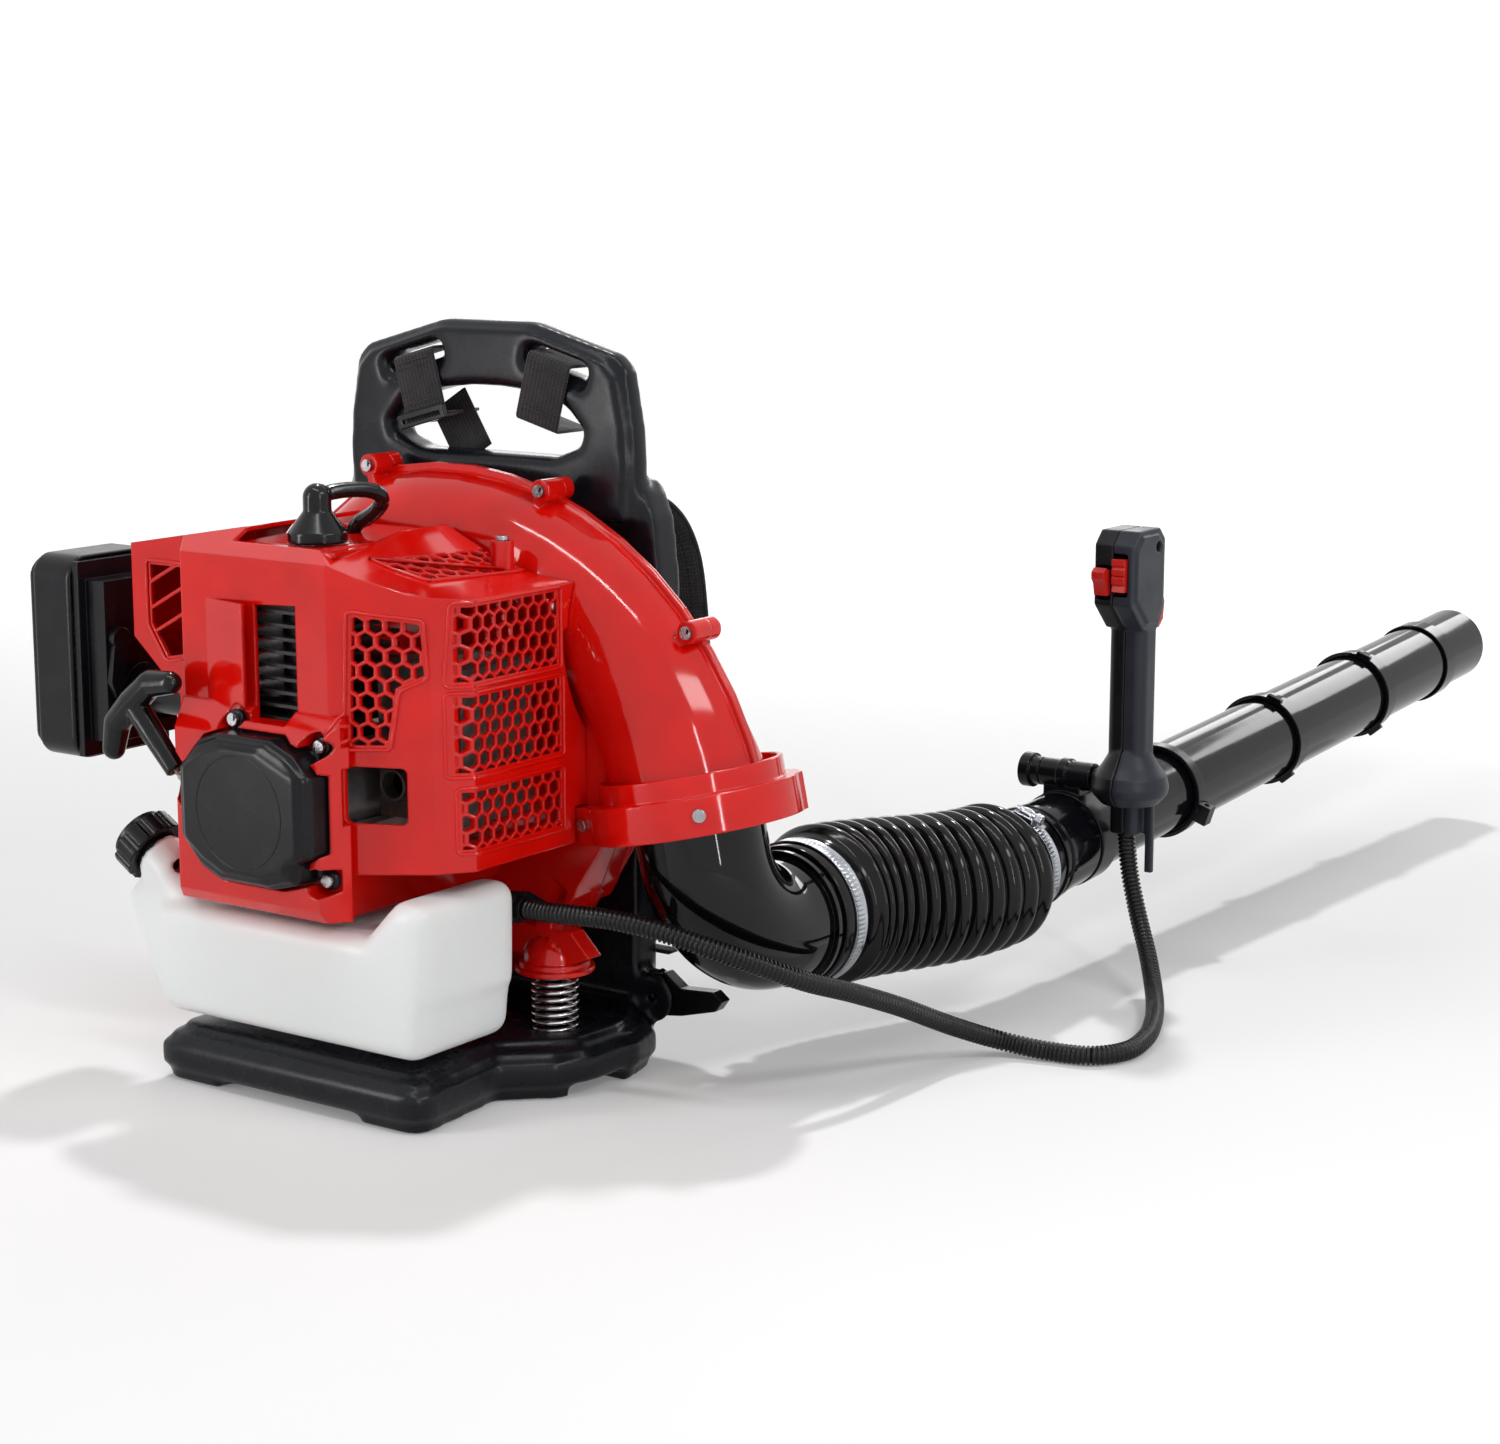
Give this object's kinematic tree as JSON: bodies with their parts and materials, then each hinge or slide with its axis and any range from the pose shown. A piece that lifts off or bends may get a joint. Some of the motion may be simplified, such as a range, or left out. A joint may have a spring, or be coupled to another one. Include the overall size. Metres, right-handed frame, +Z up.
{
  "type": "backpack leaf blower",
  "caption": "Petrol backpack leaf blower with a sprung powerhead, volute fan case, elbow, ribbed hose and long blow tube carrying a tilting control handle.",
  "frame": {"origin": "on the floor under the crankshaft, at the height of the foot sole", "axes": "+Z up, +Y towards the wearer and along the blow tube, +X towards the fan outlet"},
  "size_m": [0.6915, 1.4053, 0.5191],
  "materials": {
    "frame_plastic": "satin moulded black",
    "pad_fabric": "black mesh fabric over foam",
    "webbing": "woven black webbing",
    "buckle_plastic": "satin black",
    "spring_steel": "zinc plated wire",
    "buffer_rubber": "moulded rubber",
    "red_plastic": "glossy moulded red",
    "cast_aluminium": "as cast",
    "cylinder_aluminium": "dark cast fins",
    "machined_steel": "turned",
    "piston_aluminium": "machined",
    "fan_plastic": "glass filled nylon",
    "ceramic": "glazed insulator",
    "boot_rubber": "smooth rubber",
    "coil_plastic": "potted black",
    "muffler_steel": "heat resistant paint",
    "filter_foam": "pleated paper",
    "satin_black": "satin moulded black",
    "gloss_black": "glossy moulded black",
    "rope_cord": "braided starter cord",
    "tank_plastic": "translucent white polyethylene",
    "fuel_hose": "fuel resistant hose",
    "screw_steel": "zinc plated",
    "hose_rubber": "glossy black hose",
    "clamp_steel": "stainless band",
    "pipe_plastic": "semi gloss black",
    "grip_plastic": "satin black",
    "grip_side": "dark blue grey",
    "control_red": "glossy red",
    "conduit_plastic": "corrugated black"
  },
  "bodies": {
    "frame": {"backpack_frame": "frame_plastic", "back_pad": "pad_fabric", "shoulder_strap_left": "pad_fabric", "shoulder_strap_right": "pad_fabric", "strap_webbing": "webbing", "strap_buckles": "buckle_plastic", "mount_springs": "spring_steel", "rear_buffers": "buffer_rubber"},
    "powerhead": {"engine_bed": "red_plastic", "crankcase": "cast_aluminium", "crank_bearings": "machined_steel", "cylinder": "cylinder_aluminium", "spark_plug": "ceramic", "plug_boot_and_lead": "boot_rubber", "ignition_coil": "coil_plastic", "muffler": "muffler_steel", "carburetor": "cast_aluminium", "air_filter_base": "satin_black", "air_filter_element": "filter_foam", "air_filter_cover": "satin_black", "engine_cover": "red_plastic", "starter_housing": "satin_black", "starter_rope": "rope_cord", "fan_case_front": "red_plastic", "fan_case_rear": "red_plastic", "outlet_collar": "red_plastic", "fuel_tank": "tank_plastic", "fuel_line": "fuel_hose", "body_screws": "screw_steel", "conduit_gland": "satin_black", "throttle_conduit": "conduit_plastic"},
    "rotor": {"crankshaft": "machined_steel", "flywheel": "cast_aluminium", "impeller": "fan_plastic"},
    "piston_set": {"piston": "piston_aluminium", "gudgeon_pin": "machined_steel", "connecting_rod": "machined_steel"},
    "pull_grip": {"starter_grip": "boot_rubber"},
    "reel": {"starter_reel": "ceramic"},
    "cap": {"fuel_cap": "satin_black"},
    "choke": {"choke_lever": "satin_black"},
    "filter_knob": {"filter_cover_knob": "satin_black"},
    "elbow_hose": {"elbow": "gloss_black", "hose_clamp_large": "clamp_steel", "bellows": "hose_rubber"},
    "hose_end": {"hose_clamp_small": "clamp_steel"},
    "tube": {"swivel_pipe": "pipe_plastic", "pipe_clamp": "satin_black", "blow_pipe_rear": "pipe_plastic", "blow_pipe_middle": "pipe_plastic", "blow_pipe_front": "pipe_plastic", "nozzle": "pipe_plastic", "handle_bracket": "satin_black"},
    "handle": {"handle_shaft": "satin_black", "grip_left": "grip_plastic", "grip_right": "grip_side"},
    "knob": {"tension_knob": "satin_black"},
    "trigger": {"throttle_trigger": "control_red"},
    "lock": {"throttle_lock": "control_red"},
    "switch": {"stop_switch": "control_red"}
  },
  "joints": [
    {"name": "powerhead_bounce", "type": "slide", "parent": "frame", "child": "powerhead", "axis": [0, 0, 1], "range_m": [-0.006, 0.003], "stiffness_N_per_m": 60000, "springref_m": 0.0013, "deforming": ["mount_springs", "rear_buffers", "throttle_conduit"]},
    {"name": "crank_spin", "type": "hinge", "parent": "powerhead", "child": "rotor", "pos_m": [0, 0, 0.21], "axis": [0, 1, 0], "continuous": true},
    {"name": "piston_stroke", "type": "slide", "parent": "powerhead", "child": "piston_set", "axis": [0, 0, 1], "range_m": [-0.032, 0]},
    {"name": "starter_pull", "type": "slide", "parent": "powerhead", "child": "pull_grip", "axis": [-0.6691, 0, 0.7431], "range_m": [0, 0.5], "stiffness_N_per_m": 12, "springref_m": -0.4, "deforming": ["starter_rope"]},
    {"name": "starter_turn", "type": "hinge", "parent": "powerhead", "child": "reel", "pos_m": [0, -0.157, 0.21], "axis": [0, 1, 0], "range_deg": [0, 1110]},
    {"name": "fuel_cap_turn", "type": "hinge", "parent": "powerhead", "child": "cap", "pos_m": [-0.14, -0.112, 0.153], "axis": [-0.8387, 0, 0.5446], "range_deg": [0, 180]},
    {"name": "choke_turn", "type": "hinge", "parent": "powerhead", "child": "choke", "pos_m": [-0.184, -0.102, 0.3], "axis": [-1, 0, 0], "range_deg": [0, 45]},
    {"name": "filter_knob_turn", "type": "hinge", "parent": "powerhead", "child": "filter_knob", "pos_m": [-0.26, -0.078, 0.323], "axis": [1, 0, 0], "continuous": true},
    {"name": "elbow_swivel", "type": "hinge", "parent": "powerhead", "child": "elbow_hose", "pos_m": [0.20421, 0.06, 0.18653], "axis": [0.2079, 0, -0.9781], "range_deg": [-6, 20], "deforming": ["throttle_conduit"]},
    {"name": "hose_bend", "type": "hinge", "parent": "elbow_hose", "child": "hose_end", "pos_m": [0.245, 0.265, 0.104], "axis": [1, 0, 0], "range_deg": [-6, 25], "deforming": ["bellows", "throttle_conduit"]},
    {"name": "pipe_swivel", "type": "hinge", "parent": "hose_end", "child": "tube", "pos_m": [0.268, 0.35, 0.1034], "axis": [0, 0.9979, 0.0645], "range_deg": [-30, 30], "deforming": ["throttle_conduit"]},
    {"name": "handle_tilt", "type": "hinge", "parent": "tube", "child": "handle", "pos_m": [0.29, 0.46177, 0.16], "axis": [1, 0, 0], "range_deg": [-30, 30], "deforming": ["throttle_conduit"]},
    {"name": "tension_knob_turn", "type": "hinge", "parent": "handle", "child": "knob", "pos_m": [0.236, 0.46177, 0.16], "axis": [1, 0, 0], "continuous": true},
    {"name": "trigger_pull", "type": "hinge", "parent": "handle", "child": "trigger", "pos_m": [0.321, 0.47077, 0.315], "axis": [1, 0, 0], "range_deg": [-18, 0], "stiffness_Nm_per_rad": 0.03, "springref_deg": 22.92},
    {"name": "lock_press", "type": "hinge", "parent": "handle", "child": "lock", "pos_m": [0.3133, 0.43377, 0.318], "axis": [1, 0, 0], "range_deg": [0, 12], "stiffness_Nm_per_rad": 0.02, "springref_deg": -17.19},
    {"name": "stop_slide", "type": "slide", "parent": "handle", "child": "switch", "axis": [0, 0, 1], "range_m": [-0.003, 0.003]}
  ],
  "couplings": [
    {"joint": "starter_turn", "follows": "starter_pull", "rad_per_m": 38.462}
  ]
}
